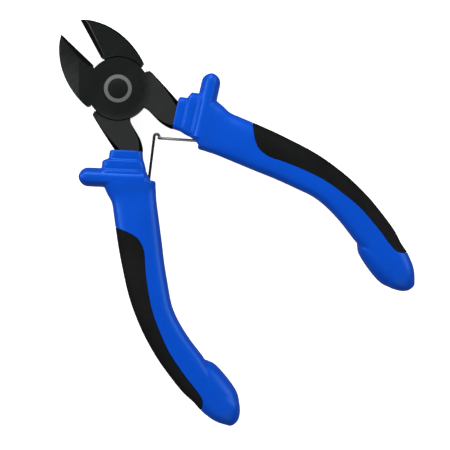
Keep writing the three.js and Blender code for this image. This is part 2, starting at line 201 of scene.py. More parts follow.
# Inner edge of the soft insert, from the outer side by the guard to the outer side by the end.
INSERT_EDGE = [
    (26.8, -31.0), (25.2, -33.6), (23.3, -37.0), (22.6, -40.0), (23.5, -43.5), (26.0, -47.3),
    (29.0, -52.3), (32.3, -59.0), (34.2, -65.0), (35.8, -72.0), (36.3, -80.0), (36.3, -87.5),
    (37.2, -90.1), (39.8, -92.0),
]
FAR_OUTSIDE = 44.0  # beyond the whole grip
PAST_FACES = 2  # how far a cutting shape runs past the front and rear
SEAM_WIDTH = 0.12  # the fine groove round the insert
SEAM_DEPTH = 0.4

SECTION_POINTS = 40
STEPS_BETWEEN_SECTIONS = 3
STEPS_BETWEEN_EDGE_POINTS = 5
STEPS_BETWEEN_CHAMFER_POINTS = 4
VOXEL = 0.18  # grain of the fused skin
FAIRING_FACTOR = 0.5
FAIRING_PASSES = 4
END_FAIRING_FROM = -90.5  # beyond this the swell is smoothed into the rounded tip
END_FAIRING_RAMP = 4.0
END_FAIRING_PASSES = 80
MOULDING_SHARP_DEG = 50

# The slot is a wedge that opens from behind the leg's seat towards its mouth.
SLOT_LEAN_DEG = 135
SLOT_BEHIND_TIP = 0.6
SLOT_MOUTH = 5.0
SLOT_BACK_HALF_WIDTH = 0.7
SLOT_MOUTH_HALF_WIDTH = 3.2
SLOT_HALF_HEIGHT = 1.3

# ---- the return spring --------------------------------------------------------------------

WIRE_RADIUS = 0.42  # heavier than the CAD's wire, as the photo shows it
WIRE_SIDES = 12
COIL_RADIUS = 0.75  # to the middle of the wire
LAYER = 0.44  # each half of the wire lies this far above or below the middle plane
SEAT_DEPTH = 1.3  # how far each wire end reaches past its seat
ARCH_DEG = 205.0  # how far each half of the wire goes round the coil
ARCH_STEPS = 28
LEG_STEPS = 6
KINK_DEG = -30.0  # where the right leg leaves the coil, from the line to its seat
KINK_RUN = 0.35  # length of the bend there
KINK_MIDDLE = 0.12
RIGHT_SEAT_LIFT = 0.4  # the right leg's seat lies this much nearer the head
WIRE_SHARP_DEG = 60
LIT_WIRE_X = (0.6, 2.2)  # the wire turns from painted shade to a painted reflection between these


# ---- mesh helpers -------------------------------------------------------------------------

def new_object(name, vertices, faces):
    mesh = bpy.data.meshes.new(name)
    mesh.from_pydata([Vector(vertex) * MM for vertex in vertices], [], faces)
    mesh.validate()
    obj = bpy.data.objects.new(name, mesh)
    scene.collection.objects.link(obj)
    return obj


def remove_object(obj):
    mesh = obj.data
    bpy.data.objects.remove(obj)
    bpy.data.meshes.remove(mesh)


def apply_modifiers(obj):
    depsgraph = bpy.context.evaluated_depsgraph_get()
    mesh = bpy.data.meshes.new_from_object(obj.evaluated_get(depsgraph))
    old = obj.data
    obj.modifiers.clear()
    obj.data = mesh
    bpy.data.meshes.remove(old)


def combine(obj, tool, operation, keep_tool=False):
    modifier = obj.modifiers.new("combine", "BOOLEAN")
    modifier.operation = operation
    modifier.solver = "EXACT"
    modifier.material_mode = "TRANSFER"
    modifier.object = tool
    apply_modifiers(obj)
    if not keep_tool:
        remove_object(tool)
    return obj


def gather(name, objects):
    """One object that holds the meshes of several, which are removed."""
    mesh = bpy.data.meshes.new(name)
    whole = bmesh.new()
    for obj in objects:
        whole.from_mesh(obj.data)
    whole.to_mesh(mesh)
    whole.free()
    for obj in objects:
        remove_object(obj)
    gathered = bpy.data.objects.new(name, mesh)
    scene.collection.objects.link(gathered)
    return gathered


def fuse_and_fair(obj):
    """Fuses overlapping closed shapes into one skin, and rounds the corners where they meet."""
    fuse = obj.modifiers.new("fuse", "REMESH")
    fuse.mode = "VOXEL"
    fuse.voxel_size = VOXEL * MM
    fair = obj.modifiers.new("fair", "SMOOTH")
    fair.factor = FAIRING_FACTOR
    fair.iterations = FAIRING_PASSES
    apply_modifiers(obj)
    return obj


def fair_end(obj):
    """Smooths the swell into the rounded tip, more and more towards the tip."""
    group = obj.vertex_groups.new(name="end")
    for vertex in obj.data.vertices:
        share = (END_FAIRING_FROM - vertex.co.y / MM) / END_FAIRING_RAMP
        if share > 0:
            group.add([vertex.index], min(share, 1.0), "REPLACE")
    fair = obj.modifiers.new("fair_end", "SMOOTH")
    fair.factor = FAIRING_FACTOR
    fair.iterations = END_FAIRING_PASSES
    fair.vertex_group = group.name
    apply_modifiers(obj)
    obj.vertex_groups.clear()
    return obj


def shade_smooth(obj, sharp_from_deg):
    obj.data.polygons.foreach_set("use_smooth", [True] * len(obj.data.polygons))
    obj.data.set_sharp_from_angle(angle=math.radians(sharp_from_deg))


def circle_steps(count):
    """Cosine and sine of equal steps round a circle."""
    angles = [2 * math.pi * index / count for index in range(count)]
    return [(math.cos(angle), math.sin(angle)) for angle in angles]


def spline(points, steps):
    """Catmull-Rom curve through rows of numbers, with that many steps between two rows."""
    rows = [points[0]] + list(points) + [points[-1]]
    result = []
    for index in range(1, len(rows) - 2):
        for step in range(steps):
            t = step / steps
            result.append(tuple(
                0.5 * (2 * b + (c - a) * t + (2 * a - 5 * b + 4 * c - d) * t * t
                       + (3 * b - a - 3 * c + d) * t ** 3)
                for a, b, c, d in zip(rows[index - 1], rows[index], rows[index + 1], rows[index + 2])
            ))
    result.append(tuple(points[-1]))
    return result


def section_ring(row, inset=0.0):
    """Closed superellipse that stands on the line from the row's inner point to its outer one."""
    inner_x, inner_y, outer_x, outer_y, thickness, squareness = row
    width = math.hypot(outer_x - inner_x, outer_y - inner_y)
    reach = (width / 2 - inset) / width
    power = 2 / squareness
    ring = []
    for cosine, sine in circle_steps(SECTION_POINTS):
        across = math.copysign(abs(cosine) ** power, cosine)
        up = math.copysign(abs(sine) ** power, sine)
        share = 0.5 + across * reach
        ring.append((
            inner_x + (outer_x - inner_x) * share,
            inner_y + (outer_y - inner_y) * share,
            MID_Z + up * (thickness / 2 - inset),
        ))
    return ring


def skin(name, rings):
    """Closed skin over rings with equal numbers of points, capped at both ends."""
    count = len(rings[0])
    vertices = [point for ring in rings for point in ring]
    faces = [tuple(reversed(range(count)))]
    for start in range(0, (len(rings) - 1) * count, count):
        for side in range(count):
            beside = (side + 1) % count
            faces.append((start + side, start + beside, start + count + beside, start + count + side))
    last = (len(rings) - 1) * count
    faces.append(tuple(range(last, last + count)))
    return new_object(name, vertices, faces)


def prism(name, outline, low, high):
    """Upright prism over a closed plan outline."""
    count = len(outline)
    vertices = [(x, y, low) for x, y in outline] + [(x, y, high) for x, y in outline]
    faces = [tuple(reversed(range(count))), tuple(range(count, 2 * count))]
    for side in range(count):
        beside = (side + 1) % count
        faces.append((side, beside, count + beside, count + side))
    obj = new_object(name, vertices, faces)
    face_outwards(obj)
    return obj


def face_outwards(obj):
    """Turns every face of a closed mesh to the outside."""
    shape = bmesh.new()
    shape.from_mesh(obj.data)
    bmesh.ops.recalc_face_normals(shape, faces=shape.faces)
    shape.to_mesh(obj.data)
    shape.free()


def turn_over(obj):
    """Turns a right-hand mesh over about the Y axis through the middle plane."""
    obj.data.transform(
        Matrix.Translation((0, 0, 2 * MID_Z * MM)) @ Matrix.Rotation(math.pi, 4, "Y")
    )
    return obj


def copy_object(obj, name):
    duplicate = bpy.data.objects.new(name, obj.data.copy())
    scene.collection.objects.link(duplicate)
    return duplicate


def guard_frame():
    """Origin of the guard's line, its direction, and the direction across it towards the head."""
    start, end = Vector(GUARD_START), Vector(GUARD_END)
    along = (end - start).normalized()
    return start, along, Vector((-along.y, along.x))


# ---- node material helpers ----------------------------------------------------------------

NOISE_ROUGHNESS = 0.55
NOISE_SPAN = (0.3, 0.7)


def new_material(name, **shader_values):
    """A material, its nodes and its shader. Names of shader sockets have _ for a space."""
    material = bpy.data.materials.new(name)
    material.use_nodes = True
    shader = material.node_tree.nodes["Principled BSDF"]
    for socket, value in shader_values.items():
        shader.inputs[socket.replace("_", " ")].default_value = value
    return material, material.node_tree, shader


def add_place(tree):
    """The piece's own coordinates."""
    return tree.nodes.new("ShaderNodeTexCoord").outputs["Object"]


def add_split(tree, place):
    split = tree.nodes.new("ShaderNodeSeparateXYZ")
    tree.links.new(place, split.inputs["Vector"])
    return split.outputs


def add_vector_math(tree, operation, vector, constant=None):
    node = tree.nodes.new("ShaderNodeVectorMath")
    node.operation = operation
    tree.links.new(vector, node.inputs[0])
    if constant is not None:
        node.inputs[1].default_value = constant
    return node.outputs


def pivot_distance(tree, place):
    """Distance from the pivot axis, seen from above."""
    flat = add_vector_math(tree, "MULTIPLY", place, (1, 1, 0))["Vector"]
    return add_vector_math(tree, "LENGTH", flat)["Value"]


def add_noise(tree, scale, detail, stretch=(1, 1, 1)):
    """Noise in the piece's own coordinates. scale is in features per metre."""
    mapping = tree.nodes.new("ShaderNodeMapping")
    mapping.inputs["Scale"].default_value = stretch
    noise = tree.nodes.new("ShaderNodeTexNoise")
    noise.inputs["Scale"].default_value = scale
    noise.inputs["Detail"].default_value = detail
    noise.inputs["Roughness"].default_value = NOISE_ROUGHNESS
    tree.links.new(add_place(tree), mapping.inputs["Vector"])
    tree.links.new(mapping.outputs["Vector"], noise.inputs["Vector"])
    return noise.outputs["Fac"]


def add_range(tree, value, from_low, from_high, to_low, to_high):
    remap = tree.nodes.new("ShaderNodeMapRange")
    remap.inputs["From Min"].default_value = from_low
    remap.inputs["From Max"].default_value = from_high
    remap.inputs["To Min"].default_value = to_low
    remap.inputs["To Max"].default_value = to_high
    tree.links.new(value, remap.inputs["Value"])
    return remap.outputs["Result"]


def add_blend(tree, value, span):
    """0 at the first number of a span in millimetres, 1 at the second."""
    return add_range(tree, value, span[0] * MM, span[1] * MM, 0.0, 1.0)


def from_noise(tree, noise, low, high):
    """Low to high over the values that noise mostly takes."""
    return add_range(tree, noise, *NOISE_SPAN, low, high)


def add_math(tree, operation, first, second):
    node = tree.nodes.new("ShaderNodeMath")
    node.operation = operation
    for socket, value in zip(node.inputs, (first, second)):
        if isinstance(value, (int, float)):
            socket.default_value = value
        else:
            tree.links.new(value, socket)
    return node.outputs["Value"]


def add_mix(tree, factor, first, second):
    """Mix of two colours, each a tuple or a link."""
    mix = tree.nodes.new("ShaderNodeMix")
    mix.data_type = "RGBA"
    tree.links.new(factor, mix.inputs["Factor"])
    for socket, value in ((mix.inputs["A"], first), (mix.inputs["B"], second)):
        if isinstance(value, tuple):
            socket.default_value = value
        else:
            tree.links.new(value, socket)
    return mix.outputs["Result"]


def add_bump(tree, shader, layers):
    """Stacks (height, depth in millimetres) layers of bump on the shader's normal."""
    normal = None
    for height, depth in layers:
        bump = tree.nodes.new("ShaderNodeBump")
        bump.inputs["Strength"].default_value = 1.0
        bump.inputs["Distance"].default_value = depth * MM
        tree.links.new(height, bump.inputs["Height"])
        if normal is not None:
            tree.links.new(normal, bump.inputs["Normal"])
        normal = bump.outputs["Normal"]
    tree.links.new(normal, shader.inputs["Normal"])


# ---- materials ----------------------------------------------------------------------------

def blue_plastic():
    material, tree, shader = new_material(
        "blue_moulded_plastic", IOR=1.46, Specular_IOR_Level=0.75, Specular_Tint=(0.20, 0.50, 1.0, 1.0),
    )
    cloud = add_noise(tree, 45.0, detail=3.0)
    deep = (0.0001, 0.0640, 0.5300, 1.0)
    light = (0.0003, 0.0800, 0.6400, 1.0)
    colour = add_mix(tree, from_noise(tree, cloud, 0.0, 1.0), deep, light)
    tree.links.new(colour, shader.inputs["Base Color"])
    grain = add_noise(tree, 2600.0, detail=2.0)
    tree.links.new(from_noise(tree, grain, 0.32, 0.44), shader.inputs["Roughness"])
    ripple = add_noise(tree, 260.0, detail=2.0)
    add_bump(tree, shader, [(ripple, 0.02), (grain, 0.012)])
    return material


def black_soft_plastic():
    material, tree, shader = new_material("black_soft_plastic", IOR=1.45, Specular_IOR_Level=0.12)
    cloud = add_noise(tree, 70.0, detail=4.0)
    deep = (0.0032, 0.0036, 0.0036, 1.0)
    dusty = (0.0090, 0.0092, 0.0090, 1.0)
    colour = add_mix(tree, from_noise(tree, cloud, 0.0, 1.0), deep, dusty)
    tree.links.new(colour, shader.inputs["Base Color"])
    grain = add_noise(tree, 3600.0, detail=3.0)
    tree.links.new(from_noise(tree, grain, 0.62, 0.82), shader.inputs["Roughness"])
    add_bump(tree, shader, [(grain, 0.03)])
    return material


def etched_ring(tree):
    """1 inside a plain ring round the pivot axis on the front face, 0 elsewhere."""
    place = add_place(tree)
    middle = (RING_INNER + RING_OUTER) / 2 * MM
    half = (RING_OUTER - RING_INNER) / 2 * MM
    blur = RING_BLUR * MM
    off_middle = add_math(tree, "SUBTRACT", pivot_distance(tree, place), middle)
    away = add_math(tree, "ABSOLUTE", off_middle, 0.0)
    inside = add_range(tree, away, half - blur, half + blur, 1.0, 0.0)
    on_top = add_math(tree, "GREATER_THAN", add_split(tree, place)["Z"], (HEAD_FRONT - RING_DEPTH) * MM)
    return add_math(tree, "MULTIPLY", inside, on_top)


def arm_sheen_share(tree):
    """Where the arms' painted sheen lies: 0 on the head, 1 on the arms, by distance from the pivot on the
    handles' side.
    """
    place = add_place(tree)
    away = add_blend(tree, pivot_distance(tree, place), ARM_SHEEN_RADIUS)
    behind = add_blend(tree, add_split(tree, place)["Y"], ARM_SHEEN_Y)
    return add_math(tree, "MULTIPLY", away, behind)


def blackened_steel():
    material, tree, shader = new_material(
        "blackened_steel", Metallic=0.2, IOR=1.45, Specular_IOR_Level=0.34,
    )
    cloud = add_noise(tree, 120.0, detail=5.0)
    dark = (0.0066, 0.0088, 0.0084, 1.0)
    grey = (0.0098, 0.0122, 0.0118, 1.0)
    base = add_mix(tree, add_range(tree, cloud, 0.32, 0.68, 0.0, 1.0), dark, grey)
    # The arms are painted paler: a painted sheen for the light their leaning faces catch.
    base = add_mix(tree, arm_sheen_share(tree), base, (0.0265, 0.0285, 0.0280, 1.0))
    speck = add_noise(tree, 1500.0, detail=2.0)
    worn = add_range(tree, speck, 0.66, 0.78, 0.0, 0.35)
    base = add_mix(tree, worn, base, (0.05, 0.053, 0.053, 1.0))
    ring = etched_ring(tree)
    etched = (0.150, 0.150, 0.150, 1.0)
    tree.links.new(add_mix(tree, ring, base, etched), shader.inputs["Base Color"])
    grinding = add_noise(tree, 900.0, detail=3.0, stretch=(0.12, 1.6, 1.0))
    rough = from_noise(tree, grinding, 0.30, 0.42)
    rough = add_math(tree, "MAXIMUM", rough, add_math(tree, "MULTIPLY", ring, 0.7))
    tree.links.new(rough, shader.inputs["Roughness"])
    add_bump(tree, shader, [(grinding, 0.006), (speck, 0.004)])
    return material


def facet_steel():
    """Relief ground on the jaw, with a painted highlight: lighter towards the heel and the jaw's outer side.
    """
    material, tree, shader = new_material(
        "blackened_relief_steel", Metallic=0.2, IOR=1.45, Specular_IOR_Level=0.4,
    )
    to_heel = (-0.707, -0.707, 0.0)
    across = add_vector_math(tree, "DOT_PRODUCT", add_place(tree), to_heel)["Value"]
    lines = add_noise(tree, 700.0, detail=3.0, stretch=(0.15, 1.5, 1.0))
    # The lighter grey is a painted highlight, growing towards the heel and the jaw's outer side.
    outer = add_blend(tree, across, FACET_HIGHLIGHT_SPAN)
    wavy_highlight = add_math(tree, "MULTIPLY", outer, from_noise(tree, lines, 0.85, 1.15))
    dark = (0.0060, 0.0072, 0.0070, 1.0)
    light = (0.0225, 0.0255, 0.0245, 1.0)
    tree.links.new(add_mix(tree, wavy_highlight, dark, light), shader.inputs["Base Color"])
    tree.links.new(from_noise(tree, lines, 0.30, 0.42), shader.inputs["Roughness"])
    add_bump(tree, shader, [(lines, 0.006)])
    return material


def shaded_chamfer_steel():
    # The chamfers are painted near black with almost no reflection: painted shade on the turned-away edges,
    # with random worn specks.
    material, tree, shader = new_material(
        "shaded_edge_steel", Roughness=0.5, IOR=1.4, Specular_IOR_Level=0.04,
    )
    speck = add_noise(tree, 1800.0, detail=3.0)
    dark = (0.0010, 0.0012, 0.0012, 1.0)
    worn = (0.0040, 0.0042, 0.0042, 1.0)
    colour = add_mix(tree, add_range(tree, speck, 0.5, 0.75, 0.0, 1.0), dark, worn)
    tree.links.new(colour, shader.inputs["Base Color"])
    add_bump(tree, shader, [(speck, 0.01)])
    return material


def ground_steel_painted_light(name, dark_level, bright_level, specular):
    """Ground steel with grinding lines across the cutting edge; its grey levels are painted light: near
    black with little reflection for the ground strip's painted shade, pale for the ridge's painted
    highlight.
    """
    material, tree, shader = new_material(
        name, Metallic=0.1, IOR=1.45, Specular_IOR_Level=specular,
    )
    lines = add_noise(tree, 1400.0, detail=3.0, stretch=(1.5, 0.08, 1.0))
    dark = (dark_level, dark_level, dark_level, 1.0)
    bright = (bright_level, bright_level, bright_level, 1.0)
    colour = add_mix(tree, from_noise(tree, lines, 0.0, 1.0), dark, bright)
    tree.links.new(colour, shader.inputs["Base Color"])
    tree.links.new(from_noise(tree, lines, 0.3, 0.44), shader.inputs["Roughness"])
    add_bump(tree, shader, [(lines, 0.006)])
    return material


def spring_steel():
    """Drawn wire: painted dark as shade on the left leg and pale as a painted reflection on the right one.
    """
    material, tree, shader = new_material("spring_steel", Metallic=0.9, IOR=1.45)
    drawn = add_noise(tree, 2500.0, detail=3.0)
    streaks = from_noise(tree, drawn, 0.0, 1.0)
    # The left leg is painted dark as shade and the right leg pale as a reflection.
    shaded_wire = add_mix(tree, streaks, (0.020, 0.020, 0.020, 1.0), (0.060, 0.059, 0.057, 1.0))
    lit_wire = add_mix(tree, streaks, (0.300, 0.290, 0.275, 1.0), (0.520, 0.505, 0.480, 1.0))
    lit_wire_share = add_blend(tree, add_split(tree, add_place(tree))["X"], LIT_WIRE_X)
    tree.links.new(add_mix(tree, lit_wire_share, shaded_wire, lit_wire), shader.inputs["Base Color"])
    tree.links.new(from_noise(tree, drawn, 0.25, 0.4), shader.inputs["Roughness"])
    add_bump(tree, shader, [(drawn, 0.004)])
    return material


def floor_material():
    material, tree, shader = new_material(
        "pale_floor", Roughness=0.7, Specular_IOR_Level=0.1,
        Emission_Color=(1.0, 1.0, 1.0, 1.0), Emission_Strength=0.9,
    )
    fibre = add_noise(tree, 30.0, detail=2.0)
    colour = add_mix(tree, fibre, (0.86, 0.86, 0.86, 1.0), (0.9, 0.9, 0.9, 1.0))
    tree.links.new(colour, shader.inputs["Base Color"])
    return material


BLUE = blue_plastic()
SOFT_BLACK = black_soft_plastic()
BLACK_STEEL = blackened_steel()
SHADED_CHAMFER_STEEL = shaded_chamfer_steel()
FACET_STEEL = facet_steel()
# Painted shade: the ground strip is painted near black with little reflection.
SHADED_GROUND_STEEL = ground_steel_painted_light(
    "shaded_ground_bevel_steel", dark_level=0.003, bright_level=0.006, specular=0.03,
)
# Painted highlight: the ridge is painted far paler than the steel.
RIDGE_HIGHLIGHT_STEEL = ground_steel_painted_light(
    "painted_highlight_ridge_steel", dark_level=0.045, bright_level=0.075, specular=0.2,
)
SPRING_STEEL = spring_steel()


# ---- levers -------------------------------------------------------------------------------

def edge_chamfer_tool(edge_rows, outer_side, side, front):
    """Three-sided sweep that takes the corner off one edge.

    outer_side is 1 where the metal ends to the left of the rows' run and -1 where it ends to the
    right, side is 1 or -1 for right or left, and front is 1 or -1 for the face the edge is on.
    """
    rows = spline(edge_rows, STEPS_BETWEEN_CHAMFER_POINTS)
    height = CHAMFER_SLOPE * CHAMFER_OVERCUT
    rings = []
    for index, (x, y, width) in enumerate(rows):
        before, after = rows[max(index - 1, 0)], rows[min(index + 1, len(rows) - 1)]
        run = Vector((after[0] - before[0], after[1] - before[1])).normalized()
        outwards = outer_side * Vector((-run.y, run.x))
        profile = [
            (-width - CHAMFER_OVERCUT, height),
            (CHAMFER_OVERCUT, -CHAMFER_SLOPE * width - height),
            (CHAMFER_OVERCUT, height),
        ]
        ring = []
        for reach, rise in profile:
            place = Vector((x, y)) + outwards * reach
            z = HEAD_FRONT + rise if front > 0 else HEAD_REAR - rise
            ring.append((side * place.x, place.y, z))
        rings.append(ring)
    tool = skin("edge_chamfer_tool", rings)
    face_outwards(tool)
    # The cut faces take the chamfer steel and its painted shade.
    tool.data.materials.append(SHADED_CHAMFER_STEEL)
    return tool


STEEL, GROUND, FACET, RIDGE = range(4)


def lever_face_kind(face, side):
    """Which finish a face of the lever has; side is 1 for the right jaw and -1 for the left one."""
    centre = face.calc_center_median() / MM
    if centre.y > FACET_FROM_Y and FACET_TILT[0] < 1 - abs(face.normal.z) < FACET_TILT[1]:
        return FACET
    by_the_gap = centre.y > GROUND_FROM_Y and abs(centre.x) < GROUND_WITHIN_X
    if by_the_gap and -side * face.normal.x > GROUND_TILT and face.normal.y < TOWARDS_TIP:
        return GROUND
    return STEEL


def bevel_painted_ridge(shape, finish):
    """Takes the corner off between a jaw's front face and its ground strip, and gives the new faces the
    finish passed in: the painted highlight on the right jaw, the painted shade of the ground strip on the
    left.
    """
    ridge = [
        edge for edge in shape.edges
        if len(edge.link_faces) == 2
        and sorted(face.material_index == GROUND for face in edge.link_faces) == [False, True]
        and max(face.normal.z for face in edge.link_faces) > FRONT_TILT
    ]
    bmesh.ops.bevel(
        shape, geom=ridge, offset=RIDGE_WIDTH * MM, offset_type="WIDTH", segments=1, affect="EDGES",
        material=finish, clamp_overlap=False,
    )


def make_lever(node, side):
    """The CAD lever with its flat faces whole again, its edges chamfered and its bevels ground."""
    mesh = frame["nodes"][node].data.copy()
    mesh.materials.clear()
    for material in (BLACK_STEEL, SHADED_GROUND_STEEL, FACET_STEEL, RIDGE_HIGHLIGHT_STEEL):
        mesh.materials.append(material)
    lever = bpy.data.objects.new(node + "_steel", mesh)
    scene.collection.objects.link(lever)
    shape = bmesh.new()
    shape.from_mesh(mesh)
    bmesh.ops.remove_doubles(shape, verts=shape.verts, dist=MERGE_DISTANCE * MM)
    bmesh.ops.dissolve_limit(
        shape, angle_limit=math.radians(FLAT_DEG), verts=shape.verts, edges=shape.edges
    )
    shape.normal_update()
    for face in shape.faces:
        face.material_index = lever_face_kind(face, side)
    # The same ridge is painted as a highlight on the right jaw and as shade on the left jaw, as the light
    # falls on them.
    bevel_painted_ridge(shape, RIDGE if side > 0 else GROUND)
    shape.to_mesh(mesh)
    shape.free()
    for front in (1, -1):
        for edge_rows, outer_side in ((ARM_OUTER_EDGE, 1), (ARM_INNER_EDGE, -1)):
            combine(lever, edge_chamfer_tool(edge_rows, outer_side, -side, front), "DIFFERENCE")
    combine(lever, edge_chamfer_tool(JAW_OUTER_EDGE, 1, side, side), "DIFFERENCE")
    small = lever.modifiers.new("edges", "BEVEL")
    small.limit_method = "ANGLE"
    small.angle_limit = math.radians(SMALL_EDGE_DEG)
    small.width = SMALL_EDGE * MM
    small.segments = 2
    small.use_clamp_overlap = True
    apply_modifiers(lever)
    shade_smooth(lever, SHARP_EDGE_DEG)
    even = lever.modifiers.new("even", "WEIGHTED_NORMAL")
    even.keep_sharp = True
    even.weight = 100
    apply_modifiers(lever)
    return lever


front_lever = make_lever("front_lever", -1)
rear_lever = make_lever("rear_lever", 1)


# ---- rivet --------------------------------------------------------------------------------

def make_rivet():
    """Turned rivet: low rounded rear head, shank, and a countersunk end level with the face."""
    front = RIVET_REACH + RIVET_FILL
    rear = RIVET_REAR
    profile = [
        (rear - 0.5, 0.0), (rear - 0.2, 0.06), (rear - 0.05, 0.2), (rear, 0.4), (rear, RIVET_REAR_HEIGHT),
        (RIVET_SHANK, RIVET_REAR_HEIGHT), (RIVET_SHANK, HEAD_FRONT - RIVET_CONE_DEPTH),
        (front, HEAD_FRONT - RIVET_EDGE_DEPTH), (front - 0.02, HEAD_FRONT - 0.04), (front - 0.1, HEAD_FRONT),
    ]
    rings = [
        [(radius * cosine, radius * sine, height) for cosine, sine in circle_steps(RIVET_SIDES)]
        for radius, height in profile
    ]
    rivet = skin("pivot_rivet_steel", rings)
    rivet.data.materials.append(BLACK_STEEL)
    shade_smooth(rivet, RIVET_SHARP_DEG)
    return rivet


rivet = make_rivet()


# ---- grips --------------------------------------------------------------------------------

def make_guard(name):
    """The thumb guard: a bar with a domed outer end."""
    start, along, to_head = guard_frame()
    length = (Vector(GUARD_END) - start).length
    # Each station: distance along the guard's line, and the share of the full width there.
    stations = [(0.0, 1.0), (length * 0.5, 1.0), (length, 1.0)]
    for step in range(1, DOME_STEPS):
        angle = math.pi / 2 * step / DOME_STEPS
        stations.append((length + GUARD_RADIUS * math.sin(angle), math.cos(angle)))
    rings = []
    for distance, share in stations:
        middle = start + along * distance
        low = middle + to_head * GUARD_RADIUS * share
        high = middle - to_head * GUARD_RADIUS * share
        fullness = GUARD_TIP_SHARE + (1 - GUARD_TIP_SHARE) * share ** GUARD_TIP_POWER
        thickness = GUARD_THICKNESS * fullness
        rings.append(section_ring((low.x, low.y, high.x, high.y, thickness, GUARD_SQUARENESS)))
    return skin(name, rings)


def make_collar(name):
    """The stepped terraces between the grip's front face and the guard."""
    start, along, to_head = guard_frame()
    rings = []
    for offset, inner_end, outer_end, thickness in COLLAR_ROWS:
        inner = start + to_head * offset + along * inner_end
        outer = start + to_head * offset + along * outer_end
        rings.append(section_ring((inner.x, inner.y, outer.x, outer.y, thickness, COLLAR_SQUARENESS)))
    return skin(name, rings)


def insert_outline(grow):
    """Plan outline that holds the insert, moved past the insert's inner edge by grow."""
    edge = [Vector(point) for point in spline(INSERT_EDGE, STEPS_BETWEEN_EDGE_POINTS)]
    moved = []
    for index, point in enumerate(edge):
        before = edge[max(index - 1, 0)]
        after = edge[min(index + 1, len(edge) - 1)]
        run = (after - before).normalized()
        moved.append((point.x + run.y * grow, point.y - run.x * grow))
    return [(FAR_OUTSIDE, moved[0][1])] + moved + [(FAR_OUTSIDE, moved[-1][1])]


def grip_body(name):
    rows = spline(GRIP_SECTIONS, STEPS_BETWEEN_SECTIONS)
    return skin(name, [section_ring(row) for row in rows])


def grip_core(name, inset):
    rows = spline(GRIP_SECTIONS[CORE_ROWS], STEPS_BETWEEN_SECTIONS)
    return skin(name, [section_ring(row, inset) for row in rows])


def spring_slot(name):
    """Slot in the inner side of the grip that holds a spring leg and lets it swing."""
    lean = math.radians(SLOT_LEAN_DEG)
    forward = Vector((math.cos(lean), math.sin(lean)))
    side = Vector((-forward.y, forward.x))
    seat = Vector(SPRING_SEAT[:2])
    seat.y = -seat.y
    back = seat - forward * (SEAT_DEPTH + SLOT_BEHIND_TIP)
    mouth = seat + forward * SLOT_MOUTH
    back_side, mouth_side = side * SLOT_BACK_HALF_WIDTH, side * SLOT_MOUTH_HALF_WIDTH
    corners = [back - back_side, mouth - mouth_side, mouth + mouth_side, back + back_side]
    outline = [tuple(corner) for corner in corners]
    return prism(name, outline, MID_Z - SLOT_HALF_HEIGHT, MID_Z + SLOT_HALF_HEIGHT)


def make_moulding(name):
    """The whole outside of the grip, with every corner faired."""
    pad_rows = spline(PAD_SECTIONS, STEPS_BETWEEN_SECTIONS)
    pad = skin("end_pad", [section_ring(row) for row in pad_rows])
    moulding = gather(name, [grip_body("grip_body"), pad, make_guard("guard"), make_collar("collar")])
    return fair_end(fuse_and_fair(moulding))


def insert_space(name, grow, depth):
    """Everything beside the insert's inner edge, down to a given depth below the grip's surface."""
    space = prism(name, insert_outline(grow), -PAST_FACES, 2 * MID_Z + PAST_FACES)
    return combine(space, grip_core("insert_bed", depth), "DIFFERENCE")


def make_sleeve(name, moulding):
    sleeve = copy_object(moulding, name)
    combine(sleeve, insert_space("insert_space", 0.0, INSERT_DEPTH), "DIFFERENCE")
    combine(sleeve, insert_space("seam_groove", SEAM_WIDTH, SEAM_DEPTH), "DIFFERENCE")
    combine(sleeve, spring_slot("spring_slot"), "DIFFERENCE")
    return sleeve


def make_insert(name, moulding):
    insert = copy_object(moulding, name)
    combine(insert, insert_space("insert_space", 0.0, INSERT_DEPTH), "INTERSECT")
    return insert


moulding = make_moulding("moulding")
right_sleeve = make_sleeve("right_grip_moulding", moulding)
right_insert = make_insert("right_insert_moulding", moulding)
remove_object(moulding)
left_sleeve = turn_over(copy_object(right_sleeve, "left_grip_moulding"))
left_insert = turn_over(copy_object(right_insert, "left_insert_moulding"))
combine(right_sleeve, front_lever, "DIFFERENCE", keep_tool=True)
combine(left_sleeve, rear_lever, "DIFFERENCE", keep_tool=True)
for piece, material in (
    (right_sleeve, BLUE), (left_sleeve, BLUE), (right_insert, SOFT_BLACK), (left_insert, SOFT_BLACK),
):
    piece.data.materials.clear()
    piece.data.materials.append(material)
    shade_smooth(piece, MOULDING_SHARP_DEG)


# ---- return spring ------------------------------------------------------------------------

def sweep_wire(name, route):
    """Round wire along a route of points, with closed ends."""
    points = [Vector(point) for point in route]
    rings = []
    up = Vector((0, 0, 1))
    for index, point in enumerate(points):
        before = points[max(index - 1, 0)]
        after = points[min(index + 1, len(points) - 1)]
        forward = (after - before).normalized()
        side = up.cross(forward).normalized()
        normal = forward.cross(side)
        rings.append([
            tuple(point + WIRE_RADIUS * (side * cosine + normal * sine))
            for cosine, sine in circle_steps(WIRE_SIDES)
        ])
    return skin(name, rings)


def on_coil(centre, angle_deg):
    """Point on the middle line of the coil's wire, seen from above."""
    angle = math.radians(angle_deg)
    return centre + COIL_RADIUS * Vector((math.cos(angle), math.sin(angle)))


def arch(centre, height, start_deg, end_deg):
    turn = end_deg - start_deg
    angles = [start_deg + turn * step / ARCH_STEPS for step in range(ARCH_STEPS + 1)]
    return [(*on_coil(centre, angle), height) for angle in angles]


def leg(tip, end, height):
    return [(*tip.lerp(end, step / LEG_STEPS), height) for step in range(LEG_STEPS)]


